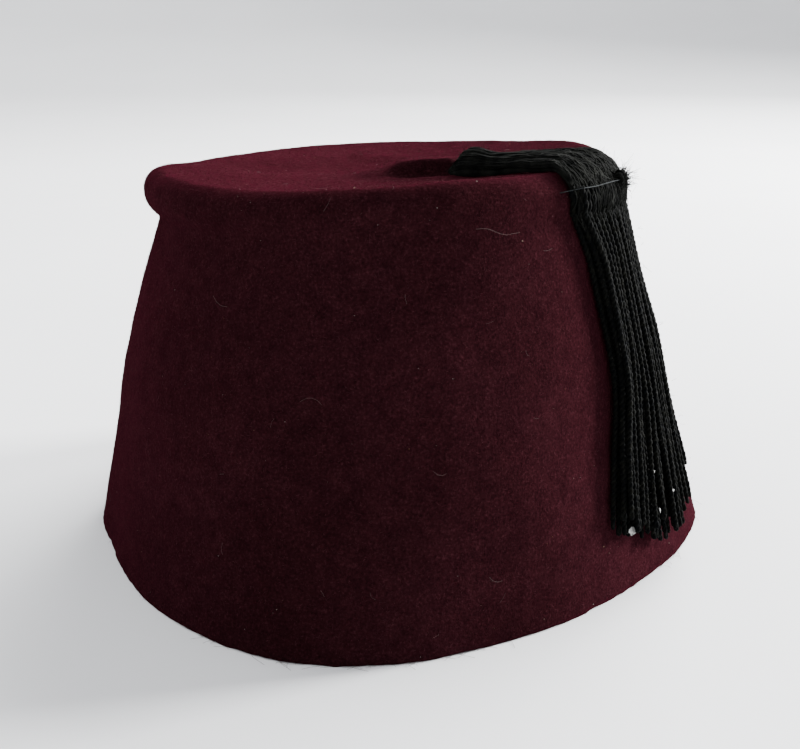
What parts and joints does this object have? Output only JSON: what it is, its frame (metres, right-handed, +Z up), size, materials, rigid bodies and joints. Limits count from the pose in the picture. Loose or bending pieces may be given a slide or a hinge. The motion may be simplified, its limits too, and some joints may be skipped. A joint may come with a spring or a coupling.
{
  "type": "fez hat",
  "caption": "Soft wool felt fez: a truncated cone open below, with a sunken tip and a rolled edge, and a black silk tassel that lies over the tip and hangs down the side.",
  "frame": {"origin": "middle of the hat's foot, on the level that the cut edge stands on", "axes": "+Z up through the tip, -Y towards the front, +X towards the side that the tassel hangs on"},
  "size_m": [0.185, 0.1804, 0.1127],
  "materials": {
    "felt": "matt wool felt with a short nap",
    "tassel_floss": "combed silk floss, soft sheen",
    "tassel_cord": "twisted silk cord, soft sheen"
  },
  "bodies": {
    "root": {"crown": "felt", "tassel_head": "tassel_floss", "tassel_skirt": "tassel_cord"}
  },
  "joints": []
}
